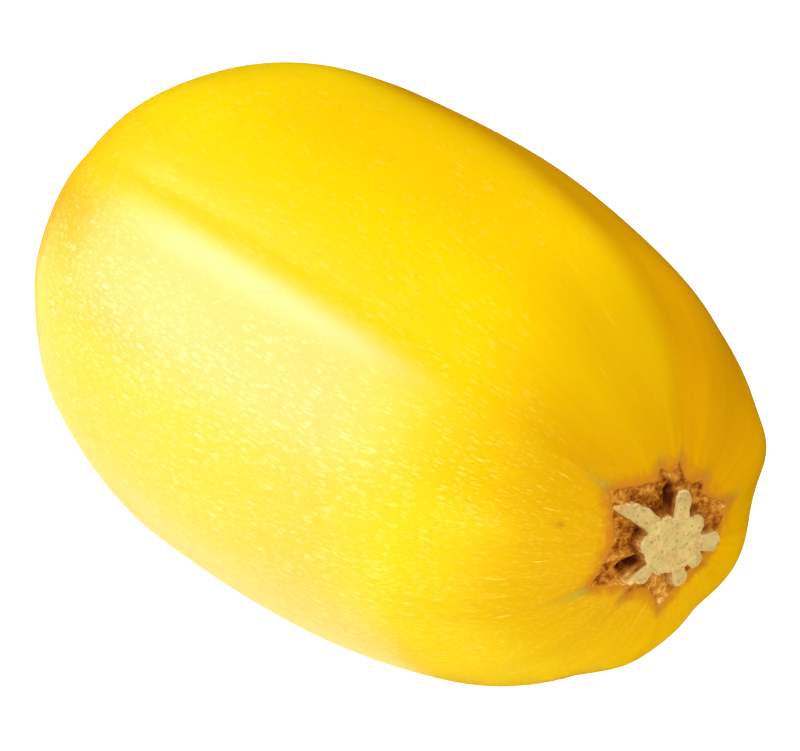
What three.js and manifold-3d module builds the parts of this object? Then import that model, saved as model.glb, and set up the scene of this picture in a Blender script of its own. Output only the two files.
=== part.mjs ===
// Spaghetti squash, whole and ripe, lying on its side with its stem cut short.
// Units are millimetres and +Z is up. The long axis runs along X, with the stem end at +X and
// the blossom end at -X. The origin is the middle of the bottom of the whole squash's box.
// Angles round the long axis start at +Y and turn towards +Z, so 90 is the top and 180 is -Y.

import * as THREE from "three";
import { mergeVertices } from "three/addons/utils/BufferGeometryUtils.js";
import Module from "manifold-3d";

// ---- driving dimensions -----------------------------------------------------------------

const BODY_RADIUS = 70; // at the widest place, before the ribs are pressed in
const STEM_REACH = 153; // from the widest place to the stem pole
const BLOSSOM_REACH = 90; // from the widest place to the blossom pole
const STEM_FULLNESS = 2.63; // exponent of the outline towards the stem: 2 is an ellipse
const BLOSSOM_FULLNESS = 1.95; // the same towards the blossom
const GROUND_SPOT = 1.5; // how much the ground pressed flat at the lowest place

const CREST_GAIN = 0.012; // share of the radius that stands proud between the valleys
const STEM_DEEPENING = 3.5; // how much bolder the ribs get at the stem pole
const BLOSSOM_DEEPENING = 1.2; // and at the blossom pole
const DRIFT_START = 0.8; // share of the way to the stem where the valleys begin to drift

// The valleys between the ribs: angle along the body, angle that it drifts to at the stem,
// depth as a share of the radius, and how wide the valley spreads on the side of smaller and
// of larger angles. Angles and widths are in degrees.
const VALLEYS = [
  [36, 43, 0.016, 13, 13],
  [63, 75, 0.014, 15, 10],
  [99, 94, 0.012, 14, 12],
  [131, 134.5, 0.011, 24, 4.2],
  [177, 170, 0.009, 14, 14],
  [214, 204, 0.012, 12, 12],
  [238, 230, 0.009, 11, 11],
  [263, 271, 0.016, 13, 13],
  [296, 318, 0.016, 13, 13],
  [342, 366, 0.014, 13, 13],
];
const RIB_BOLDNESS_POWER = 5; // the ribs get bolder by this power of the way to a pole

// Broad bumps and hollows: angle, distance along the axis, height as a share of the radius, and
// how far each spreads in degrees and in millimetres.
const BUMPS = [
  [193, -15, -0.030, 24, 30],
  [120, -40, 0.030, 24, 26],
  [57, 90, -0.022, 18, 28],
  [10, 144, 0.085, 12, 8],
  [318, 146, 0.035, 16, 8],
  [270, 141, 0.035, 12, 9],
  [347, 148, -0.040, 13, 9],
  [238, 118, 0.015, 14, 24],
  [165, -42, 0.016, 14, 16],
  [50, 122, 0.014, 12, 14],
];

const SCAR_NOTCH = 13; // radius of the stem scar's rim between its points
const SCAR_DEPTH = 3.7; // how far the scar funnels down at its middle
const SCAR_STEEPNESS = 0.8; // below 1, the scar drops quickest at its rim

// The points of the star-shaped scar: angle, reach from the middle, and over how many degrees
// the point fades away on the side of smaller and of larger angles.
const SCAR_POINTS = [
  [6, 20.5, 35, 11],
  [43, 15.8, 8, 8],
  [75, 17.6, 7, 15],
  [94, 17.2, 15, 10],
  [136.5, 21.3, 22, 26],
  [204, 22.5, 22, 14],
  [230, 17.4, 9, 9],
  [271, 20.4, 12, 14],
  [318, 16, 12, 12],
];

const BLOSSOM_SCAR_RADIUS = 8;
const BLOSSOM_SCAR_DEPTH = 1.4;

const STUB_MIDDLE = [-0.5, -2.0]; // the stub's middle from the long axis, in Y and Z
const STUB_STANDOFF = 2.0; // the cut face stands this far beyond the stem pole
const STUB_ROOT = -7; // the stub's root starts this far inside it
const STUB_CORE = 7.0; // radius of the stub's middle, between its lobes
const CUT_SLOPE = 0.4; // the cut slopes away beyond the radius below, along the long arm
const CUT_SLOPE_START = 10.5;
const LONG_ARM = 135; // angle of the long arm
const STUB_FLARE = 1.6; // above 1, the lobes spread mostly near the root

// The stub's lobes: angle, distance of the round end from the middle and its radius at the cut
// face, then the same three at the root, where the main lobes run out as arms.
const LOBES = [
  [22, 8.5, 2.35, 24, 9.0, 2.5],
  [60.5, 7.4, 2.1, 62, 8.0, 2.2],
  [69.5, 11.1, 2.45, 72, 12.6, 2.4],
  [105, 5.4, 2.6, 105, 6.2, 2.6],
  [128, 8.7, 2.4, 129, 9.0, 2.6],
  [128, 11.6, 2.2, 130, 11.8, 2.4],
  [130.5, 14.1, 1.8, 132.5, 14.2, 2.0],
  [133.5, 15.8, 1.4, 135, 15.9, 1.6],
  [136, 17.3, 1.0, 137.5, 17.5, 1.2],
  [139, 18.9, 0.6, 139.5, 19.3, 0.7],
  [161, 6.2, 2.8, 161, 6.8, 3.0],
  [195, 5.0, 2.5, 195, 5.8, 2.7],
  [217, 7.8, 1.4, 216, 8.6, 1.6],
  [217, 10.2, 1.7, 216, 11.6, 1.8],
  [210, 12.8, 1.0, 212, 15.0, 1.1],
  [240, 5.2, 2.3, 242, 6.2, 2.4],
  [290, 10.1, 2.15, 285, 12.4, 2.2],
  [322.5, 9.7, 2.15, 322, 10.4, 2.3],
  [350.5, 9.9, 1.7, 351, 10.4, 1.9],
  [347.7, 13.1, 2.6, 351, 14.6, 2.5],
  [345, 6.4, 3.7, 346, 6.8, 3.8],
  [314, 5.2, 3.4, 314, 6.0, 3.6],
  [38, 4.8, 3.4, 38, 5.4, 3.6],
];
const LOBE_SHOULDER = 0.5; // how gently a lobe's sides turn into the middle

const CLEARANCE = 0.3; // gap between the stub and the fruit that holds it

// ---- how finely the surfaces are faceted --------------------------------------------------

const BODY_ROWS = 44;
const BODY_COLUMNS = 60;
const STEM_ROW_CROWDING = 1.35; // above 1, the rows stand closer at the stem
const STUB_COLUMNS = 96;
const STUB_WALL_ROWS = 6;
const STUB_FACE_ROWS = 3;

// ---- small helpers ------------------------------------------------------------------------

const radians = (degrees) => (degrees * Math.PI) / 180;
const clamp01 = (value) => Math.min(1, Math.max(0, value));
const mix = (from, to, share) => from + (to - from) * share;
const ease = (share) => clamp01(share) ** 2 * (3 - 2 * clamp01(share));

// The signed angle from one direction to another, between -180 and 180 degrees.
function turn(degrees, from) {
  return ((((degrees - from + 180) % 360) + 360) % 360) - 180;
}

// A closed mesh from rings of points that run from one pole to the other. Every ring has the
// same number of points, and ends[0] and ends[1] are the poles.
function closedSurface(rings, ends) {
  const columns = rings[0].length;
  const positions = [ends[0], ...rings.flat(), ends[1]].flat();
  const last = rings.length * columns + 1;
  const at = (row, column) => 1 + row * columns + (column % columns);
  const index = [];
  for (let column = 0; column < columns; column++) {
    index.push(0, at(0, column), at(0, column + 1));
    index.push(last, at(rings.length - 1, column + 1), at(rings.length - 1, column));
    for (let row = 0; row < rings.length - 1; row++) {
      index.push(at(row, column), at(row + 1, column), at(row + 1, column + 1));
      index.push(at(row, column), at(row + 1, column + 1), at(row, column + 1));
    }
  }
  const geometry = new THREE.BufferGeometry();
  geometry.setAttribute("position", new THREE.Float32BufferAttribute(positions, 3));
  geometry.setIndex(index);
  return geometry;
}

// ---- fruit --------------------------------------------------------------------------------

// How far the valleys press in, as a share of the radius, at an angle and at a distance along
// the axis that runs from 0 at the widest place to 1 at the stem pole.
function valleyDepth(degrees, along) {
  const drift = clamp01((along - DRIFT_START) / (1 - DRIFT_START)) ** 2;
  let depth = 0;
  for (const [angle, stemAngle, deep, before, after] of VALLEYS) {
    const away = turn(degrees, mix(angle, stemAngle, drift));
    depth += deep * Math.exp(-((away / (away < 0 ? before : after)) ** 2));
  }
  return depth;
}

// Share of the radius that the bumps add at an angle and at a distance along the axis.
function bumpHeight(degrees, x) {
  let height = 0;
  for (const [angle, place, tall, wide, long] of BUMPS) {
    const away = turn(degrees, angle) / wide;
    const past = (x - place) / long;
    height += tall * Math.exp(-(away ** 2) - past ** 2);
  }
  return height;
}

// Radius of the stem scar's rim: round bays between sharp points.
function scarRim(degrees) {
  let rim = SCAR_NOTCH;
  for (const [angle, reach, before, after] of SCAR_POINTS) {
    const away = turn(degrees, angle);
    const fade = Math.exp(-Math.abs(away) / (away < 0 ? before : after));
    rim = Math.max(rim, mix(SCAR_NOTCH, reach, fade));
  }
  return rim;
}

// A point of the rind. The outline is a superellipse in polar form, seen from the middle of
// the widest place: polar 0 looks at the stem pole and 180 at the blossom pole.
function rindPoint(polar, degrees) {
  const forward = Math.cos(radians(polar));
  const sideways = Math.sin(radians(polar));
  const reach = forward > 0 ? STEM_REACH : BLOSSOM_REACH;
  const fullness = forward > 0 ? STEM_FULLNESS : BLOSSOM_FULLNESS;
  const lengthwise = (Math.abs(forward) / reach) ** fullness;
  const crosswise = (sideways / BODY_RADIUS) ** fullness;
  const length = (lengthwise + crosswise) ** (-1 / fullness);
  const along = (length * forward) / reach;
  const deepening = forward > 0 ? STEM_DEEPENING : BLOSSOM_DEEPENING;
  const boldness = 1 + deepening * Math.abs(along) ** RIB_BOLDNESS_POWER;
  const rib = boldness * (CREST_GAIN - valleyDepth(degrees, along));
  let x = length * forward;
  const radius = length * sideways * (1 + rib + bumpHeight(degrees, x));
  if (forward > 0) {
    const inside = clamp01(1 - radius / scarRim(degrees));
    x -= SCAR_DEPTH * inside ** SCAR_STEEPNESS;
  } else {
    x += BLOSSOM_SCAR_DEPTH * ease(1 - radius / BLOSSOM_SCAR_RADIUS);
  }
  return [x, radius * Math.cos(radians(degrees)), radius * Math.sin(radians(degrees))];
}

function fruitSurface() {
  const rings = [];
  for (let row = 1; row < BODY_ROWS; row++) {
    const polar = 180 * (row / BODY_ROWS) ** STEM_ROW_CROWDING;
    const ring = [];
    for (let column = 0; column < BODY_COLUMNS; column++) {
      ring.push(rindPoint(polar, (360 * column) / BODY_COLUMNS));
    }
    rings.push(ring);
  }
  return closedSurface(rings, [rindPoint(0, 0), rindPoint(180, 0)]);
}

// ---- stem stub ----------------------------------------------------------------------------

// Radius of the stub at an angle, at a height that runs from 0 at the root to 1 at the face:
// the farthest that a ray from the middle reaches in any lobe's round end.
function stubRadius(degrees, height) {
  let radius = STUB_CORE;
  for (const [faceAngle, faceReach, faceRound, rootAngle, rootReach, rootRound] of LOBES) {
    const share = height ** (1 / STUB_FLARE);
    const away = turn(degrees, mix(rootAngle, faceAngle, share));
    if (Math.abs(away) > 90) continue;
    const reach = mix(rootReach, faceReach, share);
    const round = mix(rootRound, faceRound, share);
    const offCentre = (reach * Math.sin(radians(away))) / round;
    const chord = Math.sqrt(Math.max(0, 1 - offCentre ** 2));
    const far = reach * Math.cos(radians(away)) + round * chord;
    radius = Math.max(radius, mix(STUB_CORE, far, ease(chord / LOBE_SHOULDER)));
  }
  return radius;
}

// Height of the cut: level near the middle, and sloping away beyond it towards the long arm.
function cutHeight(degrees, radius) {
  const lean = (1 + Math.cos(radians(degrees - LONG_ARM))) / 2;
  return STEM_REACH + STUB_STANDOFF - CUT_SLOPE * lean * Math.max(0, radius - CUT_SLOPE_START);
}

// A point of the stub, placed by its own middle.
function stubPoint(degrees, radius, x) {
  const y = STUB_MIDDLE[0] + radius * Math.cos(radians(degrees));
  const z = STUB_MIDDLE[1] + radius * Math.sin(radians(degrees));
  return [x, y, z];
}

function stubSurface() {
  const root = STEM_REACH + STUB_ROOT;
  const columns = Array.from({ length: STUB_COLUMNS }, (_, column) => (360 * column) / STUB_COLUMNS);
  const rings = [];
  for (let row = 1; row < STUB_FACE_ROWS; row++) {
    const share = row / STUB_FACE_ROWS;
    rings.push(columns.map((degrees) => {
      const radius = share * stubRadius(degrees, 1);
      return stubPoint(degrees, radius, cutHeight(degrees, radius));
    }));
  }
  for (let row = 0; row <= STUB_WALL_ROWS; row++) {
    const height = 1 - row / STUB_WALL_ROWS;
    rings.push(columns.map((degrees) => {
      const radius = stubRadius(degrees, height);
      return stubPoint(degrees, radius, mix(root, cutHeight(degrees, radius), height));
    }));
  }
  return closedSurface(rings, [stubPoint(0, 0, cutHeight(0, 0)), stubPoint(0, 0, root)]);
}

// ---- solids, cut with manifold-3d ---------------------------------------------------------

const wasm = await Module();
wasm.setup();

function solidOf(geometry) {
  const merged = mergeVertices(geometry);
  return new wasm.Manifold(new wasm.Mesh({
    numProp: 3,
    vertProperties: new Float32Array(merged.attributes.position.array),
    triVerts: new Uint32Array(merged.index.array),
  }));
}

function geometryOf(solid) {
  const { vertProperties, triVerts } = solid.getMesh();
  const geometry = new THREE.BufferGeometry();
  geometry.setAttribute("position", new THREE.Float32BufferAttribute(vertProperties, 3));
  geometry.setIndex(Array.from(triVerts));
  return geometry;
}

// A block that takes off everything below a height.
function groundBlock(height) {
  const size = 4 * STEM_REACH;
  const block = new THREE.BoxGeometry(size, size, size);
  block.deleteAttribute("normal");
  block.deleteAttribute("uv");
  block.translate(0, 0, height - size / 2);
  return solidOf(block);
}

const wholeFruit = fruitSurface();
wholeFruit.computeBoundingBox();
const ground = wholeFruit.boundingBox.min.z + GROUND_SPOT;
const fruitSolid = solidOf(wholeFruit).subtract(groundBlock(ground));

// The fruit moved outwards along the stem by the clearance cuts the stub's seat.
const seatCutter = solidOf(wholeFruit.clone().translate(CLEARANCE, 0, 0));
const stubSolid = solidOf(stubSurface()).subtract(seatCutter);

const fruitGeometry = geometryOf(fruitSolid);
const stubGeometry = geometryOf(stubSolid);

// ---- scene graph --------------------------------------------------------------------------

const rind = new THREE.MeshStandardMaterial({ color: 0xf2c21a, roughness: 0.42, metalness: 0 });
const cutStem = new THREE.MeshStandardMaterial({ color: 0xd8c07a, roughness: 0.85, metalness: 0 });

const fruit = new THREE.Mesh(fruitGeometry, rind);
fruit.name = "squash_fruit";
const stub = new THREE.Mesh(stubGeometry, cutStem);
stub.name = "stem_stub";

const squash = new THREE.Group();
squash.name = "spaghetti_squash";
squash.add(fruit, stub);

// The group is moved so that its origin is the middle of the bottom of its box.
const box = new THREE.Box3().setFromObject(squash);
const middle = box.getCenter(new THREE.Vector3());
squash.position.set(-middle.x, -middle.y, -box.min.z);

export default squash;
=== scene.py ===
# %% [markdown]
# # A spaghetti squash, grown from formulas
#
# A ripe spaghetti squash is a long, plump fruit with a hard, waxy, golden rind. Low ribs run
# along it from the blossom end to the stem, and where the stem was cut off there is a sunken
# star of brown, corky skin round a pale, lobed stub. This lesson builds it in Blender from
# surfaces that numpy works out as whole arrays, and colours it with materials made of nodes.
#
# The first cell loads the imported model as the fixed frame, and everything made later is put
# where that frame says.

# %% Load the frame
import math

import bpy
import numpy as np
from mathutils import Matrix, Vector


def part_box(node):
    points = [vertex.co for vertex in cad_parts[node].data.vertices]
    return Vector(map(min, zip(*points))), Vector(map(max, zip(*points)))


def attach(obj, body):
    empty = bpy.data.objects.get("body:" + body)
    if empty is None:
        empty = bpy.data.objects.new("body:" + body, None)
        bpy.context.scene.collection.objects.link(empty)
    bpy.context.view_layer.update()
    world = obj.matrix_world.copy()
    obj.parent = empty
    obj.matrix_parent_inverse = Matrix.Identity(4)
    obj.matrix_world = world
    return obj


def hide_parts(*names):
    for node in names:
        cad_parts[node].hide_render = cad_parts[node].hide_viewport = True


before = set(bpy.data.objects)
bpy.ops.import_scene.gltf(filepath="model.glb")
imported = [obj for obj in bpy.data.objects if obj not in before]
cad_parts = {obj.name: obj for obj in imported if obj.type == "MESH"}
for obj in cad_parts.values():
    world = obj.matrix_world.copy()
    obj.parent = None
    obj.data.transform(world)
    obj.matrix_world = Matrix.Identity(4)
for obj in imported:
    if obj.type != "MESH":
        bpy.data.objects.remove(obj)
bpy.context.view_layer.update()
fruit_low, fruit_high = (np.array(corner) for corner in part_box("squash_fruit"))
print("fruit in the frame, mm:", np.round((fruit_high - fruit_low) * 1000, 1))

# %% [markdown]
# ## The fruit's own axes
#
# The fruit is described round its long axis: distances along the axis from the widest place,
# and angles round it. 0 degrees looks along +Y, 90 is the top and 180 looks along -Y. Lengths
# are in metres. The frame's fruit was made with the same driving dimensions.

# %% Driving dimensions
MM = 0.001
BODY_RADIUS = 70 * MM       # at the widest place, before the ribs are pressed in
STEM_REACH = 153 * MM       # from the widest place to the stem pole
BLOSSOM_REACH = 90 * MM     # from the widest place to the blossom pole
STEM_FULLNESS = 2.63        # exponent of the outline towards the stem: 2 is an ellipse
BLOSSOM_FULLNESS = 1.95     # the same towards the blossom

CREST_GAIN = 0.012          # share of the radius that stands proud between the valleys
STEM_DEEPENING = 3.5        # how much bolder the ribs get at the stem pole
BLOSSOM_DEEPENING = 1.2     # and at the blossom pole
DRIFT_START = 0.8           # share of the way to the stem where the valleys begin to drift

# The valleys between the ribs: angle along the body, angle that it drifts to at the stem,
# depth as a share of the radius, and how wide the valley spreads on the side of smaller and
# of larger angles. Angles and widths are in degrees.
VALLEYS = np.array([
    [36, 43, 0.016, 13, 13],
    [63, 75, 0.014, 15, 10],
    [99, 94, 0.012, 14, 12],
    [131, 134.5, 0.011, 24, 4.2],
    [177, 170, 0.009, 14, 14],
    [214, 204, 0.012, 12, 12],
    [238, 230, 0.009, 11, 11],
    [263, 271, 0.016, 13, 13],
    [296, 318, 0.016, 13, 13],
    [342, 366, 0.014, 13, 13],
])

# Broad bumps and hollows: angle, distance along the axis in millimetres, height as a share of
# the radius, and how far each spreads in degrees and in millimetres.
BUMPS = np.array([
    [193, -15, -0.030, 24, 30],
    [120, -40, 0.030, 24, 26],
    [57, 90, -0.022, 18, 28],
    [10, 144, 0.085, 12, 8],
    [318, 146, 0.035, 16, 8],
    [270, 141, 0.035, 12, 9],
    [347, 148, -0.040, 13, 9],
    [238, 118, 0.015, 14, 24],
    [165, -42, 0.016, 14, 16],
    [50, 122, 0.014, 12, 14],
])

SCAR_NOTCH = 13 * MM        # radius of the stem scar's rim between its points

# The points of the star-shaped scar: angle, reach from the middle in millimetres, and over
# how many degrees the point fades away on the side of smaller and of larger angles.
SCAR_POINTS = np.array([
    [6, 20.5, 35, 11],
    [43, 15.8, 8, 8],
    [75, 17.6, 7, 15],
    [94, 17.2, 15, 10],
    [136.5, 21.3, 22, 26],
    [204, 22.5, 22, 14],
    [230, 17.4, 9, 9],
    [271, 20.4, 12, 14],
    [318, 16, 12, 12],
])
print(len(VALLEYS), "valleys,", len(SCAR_POINTS), "points on the scar")

# %% [markdown]
# ## Helpers for angles and soft steps
#
# Three small functions carry most of the shaping: a signed angle, a step with soft shoulders
# and a bell curve. They work on numbers and on whole arrays alike.

# %% Angles, steps and bells
def turn(degrees, origin):
    """Signed angle from origin to degrees: the difference, wrapped to -180..180."""
    return (degrees - origin + 180) % 360 - 180


def ease(share):
    """Soft step: 3 s^2 - 2 s^3 with s clamped to 0..1."""
    share = np.clip(share, 0, 1)
    return share * share * (3 - 2 * share)


def bell(distance, width):
    """Bell curve: e to the minus (distance / width) squared."""
    return np.exp(-((distance / width) ** 2))


print("a step half way up:", ease(0.5), " a bell one width out:", round(float(bell(1, 1)), 3))

# %% [markdown]
# ## Unevenness that closes on itself
#
# No fruit is as smooth as its formula. `waves` makes gentle lumps as a sum of cosines whose
# counts round the axis are whole numbers, so the surface closes on itself with no seam. The
# waves are drawn from a seeded generator, which gives the same fruit on every run.

# %% Lumps from waves
def waves(along, around, count, coarsest, finest, length, seed):
    """Sum of cos(k a + 2 pi m x / length + shift) over the square root of count.

    a is the angle and x the distance along. Each wave draws its whole number k between
    coarsest and finest, its steepness m up to a third of finest, and its shift.
    """
    draw = np.random.default_rng(seed)
    turns = draw.integers(coarsest, finest + 1, count)
    steps = draw.uniform(-finest / 3, finest / 3, count)
    shifts = draw.uniform(0, 2 * np.pi, count)
    total = np.zeros(np.broadcast(along, around).shape)
    for whole, step, shift in zip(turns, steps, shifts):
        total += np.cos(whole * np.radians(around) + 2 * np.pi * step * along / length + shift)
    return total / math.sqrt(count)


# %% [markdown]
# ## A closed surface from rows of points
#
# Every grown piece here is a grid: rows from one pole to the other and columns round the axis.
# The last column joins the first, and a single vertex closes each pole, so the mesh is
# watertight. Blender takes the arrays through `foreach_set`, which is far quicker than adding
# vertices one at a time. The vertices also get named numbers, which the materials read later.

# %% Grid to mesh
def closed_grid(name, points, poles, traits):
    """A mesh from points[row, column] and two poles, with quads between and triangles at the
    ends. traits maps an attribute's name to (values on the grid, values at the poles), and a
    value is a number or a triple."""
    rows, columns = points.shape[:2]
    vertices = np.concatenate([points.reshape(-1, 3), np.array(poles)])
    at = np.arange(rows * columns).reshape(rows, columns)
    after = np.roll(at, -1, axis=1)
    quads = np.stack([at[:-1], at[1:], after[1:], after[:-1]], axis=-1).reshape(-1, 4)
    first = np.stack([np.full(columns, rows * columns), at[0], after[0]], axis=-1)
    last = np.stack([np.full(columns, rows * columns + 1), after[-1], at[-1]], axis=-1)
    corners = np.concatenate([quads.ravel(), first.ravel(), last.ravel()])
    sizes = np.concatenate([np.full(len(quads), 4), np.full(2 * columns, 3)])
    starts = np.concatenate([[0], np.cumsum(sizes)[:-1]])

    mesh = bpy.data.meshes.new(name)
    mesh.vertices.add(len(vertices))
    mesh.vertices.foreach_set("co", vertices.astype(np.float32).ravel())
    mesh.loops.add(len(corners))
    mesh.loops.foreach_set("vertex_index", corners.astype(np.int32))
    mesh.polygons.add(len(sizes))
    mesh.polygons.foreach_set("loop_start", starts.astype(np.int32))
    mesh.polygons.foreach_set("use_smooth", np.ones(len(sizes), dtype=bool))
    mesh.update(calc_edges=True)
    for trait, (grid, ends) in traits.items():
        triple = np.ndim(grid) == 3
        flat = grid.reshape(-1, 3) if triple else np.ravel(grid)
        layer = mesh.attributes.new(trait, "FLOAT_VECTOR" if triple else "FLOAT", "POINT")
        values = np.concatenate([flat, np.array(ends, dtype=float)]).astype(np.float32)
        layer.data.foreach_set("vector" if triple else "value", values.ravel())
    mesh.validate()
    piece = bpy.data.objects.new(name, mesh)
    bpy.context.scene.collection.objects.link(piece)
    print(f"{name}: {len(vertices)} vertices, {2 * len(quads) + 2 * columns} triangles")
    return piece


# %% [markdown]
# ## The outline and the ribs
#
# Turned on a lathe, the fruit would be a superellipse: fuller than an ellipse, and longer
# towards the stem than towards the blossom. The ribs are what stands between ten shallow
# valleys, each a bell curve round the axis that runs the whole length. They get bolder towards
# both ends, and before the stem the valleys drift round to meet the points of the scar. The rib
# beside the valley at 131 degrees has a crisp edge, so that valley is narrow on one side.

# %% Outline, valleys and the scar's rim
def outline_height(radius):
    """Distance along the axis where the plain outline has this radius, on the stem side:
    reach times (1 - (radius / body radius)^n)^(1/n)."""
    share = np.clip(radius / BODY_RADIUS, 0, 1) ** STEM_FULLNESS
    return STEM_REACH * (1 - share) ** (1 / STEM_FULLNESS)


def outline_point(polar):
    """Superellipse in polar form: (along, radius) in the direction polar, in radians, where 0
    looks at the stem pole. The length is (|cos/reach|^n + (sin/body radius)^n)^(-1/n)."""
    forward, sideways = np.cos(polar), np.sin(polar)
    to_stem = forward > 0
    reach = np.where(to_stem, STEM_REACH, BLOSSOM_REACH)
    n = np.where(to_stem, STEM_FULLNESS, BLOSSOM_FULLNESS)
    length = ((np.abs(forward) / reach) ** n + (sideways / BODY_RADIUS) ** n) ** (-1 / n)
    return length * forward, length * sideways


def valley_angle(row, end):
    """Angle of a valley's bottom: it drifts by the square of the last stretch before the stem."""
    drift = np.clip((end - DRIFT_START) / (1 - DRIFT_START), 0, 1) ** 2
    return VALLEYS[row, 0] + (VALLEYS[row, 1] - VALLEYS[row, 0]) * drift


def valley_depth(around, end):
    """Share of the radius that the valleys press in: a sum of two-sided bells."""
    depth = 0
    for row, (_, _, deep, before, after) in enumerate(VALLEYS):
        away = turn(around, valley_angle(row, end))
        depth = depth + deep * bell(away, np.where(away < 0, before, after))
    return depth


def bump_height(along, around):
    """Share of the radius that the bumps add: a bell of the angle times a bell of the way."""
    height = 0
    for angle, place, tall, wide, long in BUMPS:
        across = bell(turn(around, angle), wide)
        height = height + tall * across * bell(along - place * MM, long * MM)
    return height


def rib_share(along, around):
    """What the outline's radius is multiplied by: 1 plus (crest gain - valley depth), bolder
    by the fifth power of the distance towards either pole, plus the bumps."""
    end = along / np.where(along > 0, STEM_REACH, BLOSSOM_REACH)
    boldness = 1 + np.where(along > 0, STEM_DEEPENING, BLOSSOM_DEEPENING) * np.abs(end) ** 5
    return 1 + boldness * (CREST_GAIN - valley_depth(around, end)) + bump_height(along, around)


def scar_rim(around):
    """Radius of the scar's rim: round bays between sharp points. Each point is its reach,
    fading with the angle as e^(-angle / spread), and the farthest point wins."""
    reach = np.full_like(around, SCAR_NOTCH, dtype=float)
    for angle, point, before, after in SCAR_POINTS:
        away = turn(around, angle)
        fade = np.exp(-np.abs(away) / np.where(away < 0, before, after))
        reach = np.maximum(reach, SCAR_NOTCH + (point * MM - SCAR_NOTCH) * fade)
    return reach


whole_turn = np.arange(360.0)
print("ribs, share of the radius:", np.round(rib_share(0.0, whole_turn)[::30], 3))
print("scar rim, mm:", np.round(scar_rim(whole_turn)[::30] * 1000, 1))

# %% [markdown]
# ## The rind's grid
#
# In an even grid the star's edge would cut across the squares and look sawn. Instead, one row
# follows the star's rim all the way round. The rows inside it shrink towards the middle, and
# the rows outside it open out to the blossom end, close together at first.

# %% Rows of the rind
COLUMNS = 480
SCAR_ROWS = 56
BODY_ROWS = 148
ROW_CROWDING = 1.6          # above 1, the rows stand closer at the rim

around = np.arange(COLUMNS)[None, :] * 360.0 / COLUMNS
rim = scar_rim(around)
end_share = rib_share(STEM_REACH, around)


def scar_rows():
    """Rows inside the rim: the radius is a share of the rim, on the outline's dome."""
    share = np.linspace(0, 1, SCAR_ROWS + 1)[1:, None] ** 0.8
    radius = rim * share
    return outline_height(radius / end_share), radius


def body_rows():
    """Rows outside the rim: the polar angle runs from the rim's own to the blossom pole."""
    start = np.arctan2(rim / end_share, outline_height(rim / end_share))
    share = np.linspace(0, 1, BODY_ROWS + 2)[1:-1, None] ** ROW_CROWDING
    along, radius = outline_point(start + (np.pi - start) * share)
    return along, radius * rib_share(along, around)


along, radius = (np.concatenate(pair) for pair in zip(scar_rows(), body_rows()))
inside = rim - radius                       # above 0 inside the scar
steps = np.hypot(np.diff(along, axis=0), np.diff(radius, axis=0))
travel = np.concatenate([np.zeros((1, COLUMNS)), np.cumsum(steps, axis=0)])
past_rim = travel[SCAR_ROWS - 1] - travel   # below 0 outside: the way back along the rind
from_blossom = travel[-1] - travel
print("grid of", along.shape[0], "rows and", COLUMNS, "columns;",
      "rim to blossom, mm:", round(float(-past_rim.min()) * 1000))

# %% [markdown]
# ## The scar, the blossom end and the creases
#
# Inside the rim the skin drops over a lip and goes on down as a funnel of torn, corky tissue.
# Just outside it the rind swells a little and rolls over its edge. A fine crease runs out from
# each point of the star, and shallow furrows spread round the stem. A wider mask along each
# crease carries painted shade for the rind's colour. In the cork there are ridges of torn tissue
# and two deep pits. At the other end is the blossom's small sunken button. All of these but the
# painted shade are heights added to the smooth shape.

# %% Heights on the rind
LIP_DEPTH = 0.7 * MM        # how far the rim drops straight down
LIP_WIDTH = 0.5 * MM
FUNNEL_DEPTH = 3.0 * MM     # how far the corky funnel goes down at its middle
TORN_DEPTH = 0.25 * MM      # unevenness of the torn tissue
TORN_START = 1.5 * MM       # and how far inside the rim it is at its full height
SHOULDER_SWELL = 0.3 * MM   # the rind stands up round the rim
SHOULDER_WIDTH = 3 * MM
ROLL_DEPTH = 0.25 * MM      # and rolls over at its edge
ROLL_WIDTH = 0.7 * MM
CREASE_DEPTH = 0.15 * MM
CREASE_WIDTH = 0.55 * MM
CREASE_SHADE_WIDTH = 2.4 * MM       # width of the painted shade along each crease
CREASE_LENGTHS = np.array([5, 3, 3, 3, 7, 9, 3, 3, 3]) * MM   # one for each point of the star
BLOSSOM_SCAR_RADIUS = 8 * MM
BLOSSOM_SCAR_DEPTH = 1.4 * MM
PUCKER_HEIGHT = 0.12 * MM   # small folds in a ring round the blossom's button
PUCKER_PLACE = 9 * MM
PUCKER_WIDTH = 5 * MM
FURROW_DEPTH = 0.05 * MM    # shallow furrows that fade away from the stem
FURROW_REACH = 14 * MM
LUMP_HEIGHT = 0.30 * MM     # gentle lumps and finer ripples on the whole rind,
RIPPLE_HEIGHT = 0.07 * MM
CALM_WIDTH = 20 * MM        # which start this far out from the rim

# Ridges of torn skin that cross the scar: angle and reach where one starts and where it ends,
# half its width, and the share of the scar's depth that it fills. Degrees and millimetres.
SCAR_RIDGES = np.array([
    [240, 11.0, 212, 21.0, 1.4, 0.85],
    [200, 9.0, 187, 16.5, 1.0, 0.50],
    [141, 12.0, 139, 21.0, 1.8, 0.60],
    [80, 14.0, 86, 17.0, 1.6, 0.35],
    [352, 12.0, 5, 20.0, 1.8, 0.20],
    [268, 11.0, 271, 19.0, 2.4, 0.75],
])

# Troughs at the foot of the stub, given in the same way, with how deep each goes. The materials
# also paint shade into them.
PITS = np.array([
    [217, 8.5, 208, 13.0, 1.15, 1.0],
    [70, 6.5, 80, 10.5, 1.4, 1.25],
])
PIT_DEPTH = 1.6 * MM


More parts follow.
